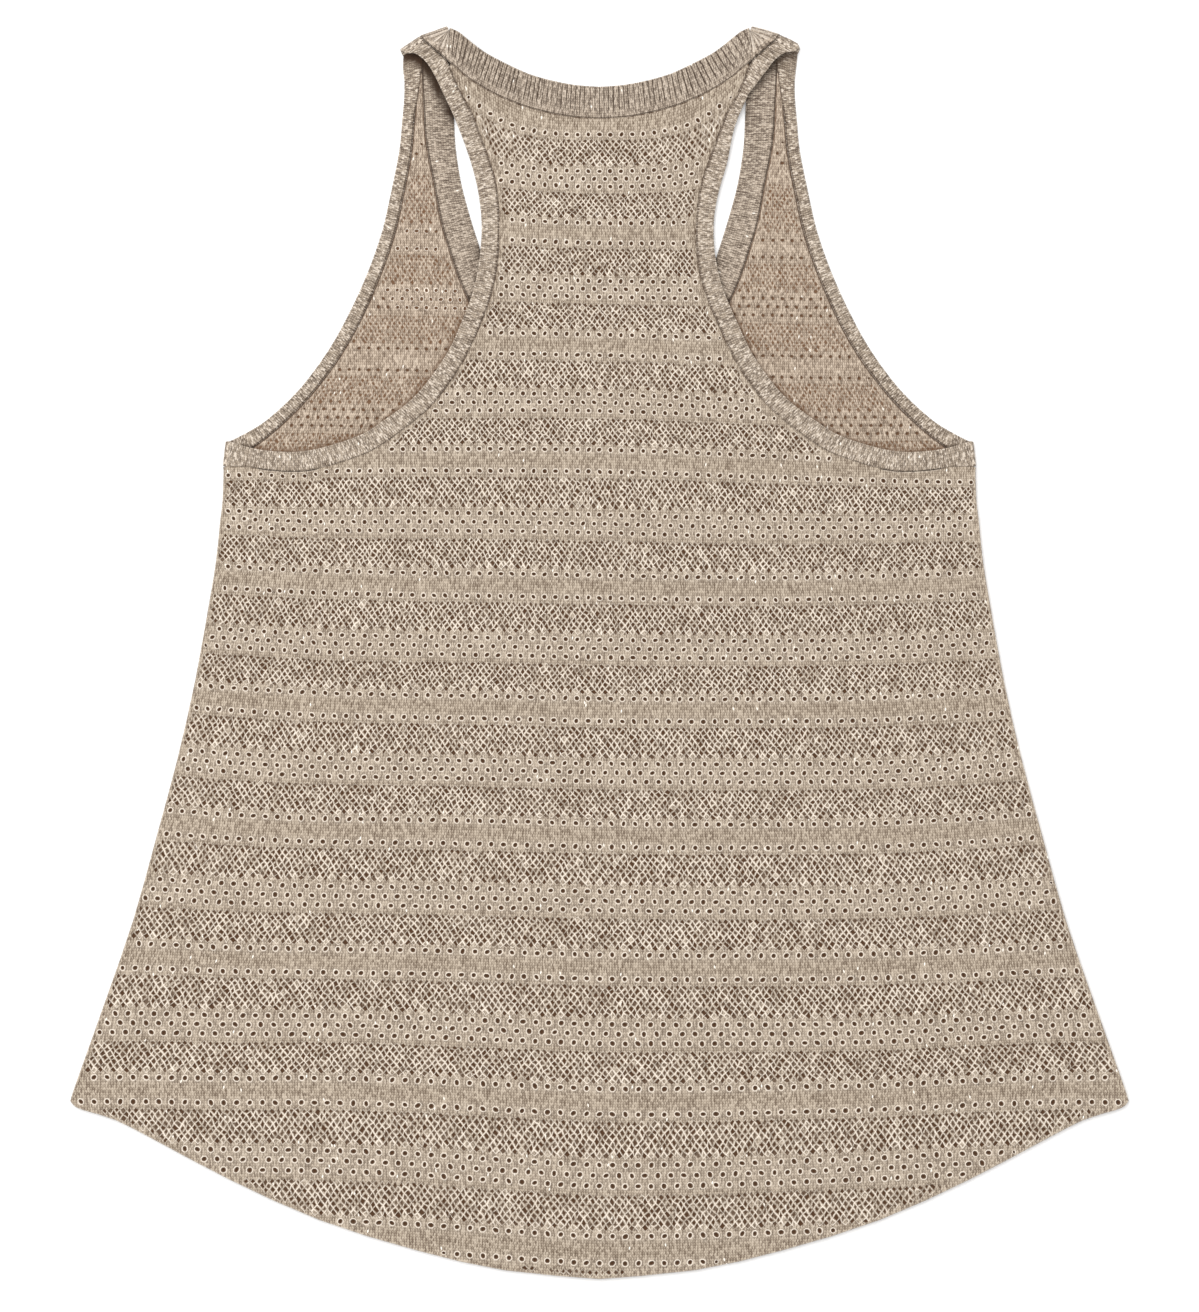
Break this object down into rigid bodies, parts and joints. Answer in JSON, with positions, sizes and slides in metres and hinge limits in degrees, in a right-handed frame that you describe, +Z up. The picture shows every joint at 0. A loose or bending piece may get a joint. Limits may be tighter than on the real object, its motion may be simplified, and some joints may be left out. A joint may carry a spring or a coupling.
{
  "type": "knit tank top",
  "caption": "Sleeveless racerback knit top laid flat with its back upward: openwork panels, rib neckbands, bound armholes and a curved hem.",
  "frame": {"origin": "middle of the garment's width and length, on the surface it lies on", "axes": "+X across the body, +Y from hem to neck, +Z up through the front and then the back"},
  "size_m": [0.5718, 0.677, 0.0083],
  "materials": {
    "openwork_knit": "matt fine knit with eyelets and net bands",
    "rib_knit": "matt rib knit",
    "binding_knit": "matt doubled rib strip"
  },
  "bodies": {
    "root": {"front_panel": "openwork_knit", "back_panel": "openwork_knit", "neckband_front": "rib_knit", "neckband_back": "rib_knit", "armhole_binding_left": "binding_knit", "armhole_binding_right": "binding_knit"}
  },
  "joints": []
}
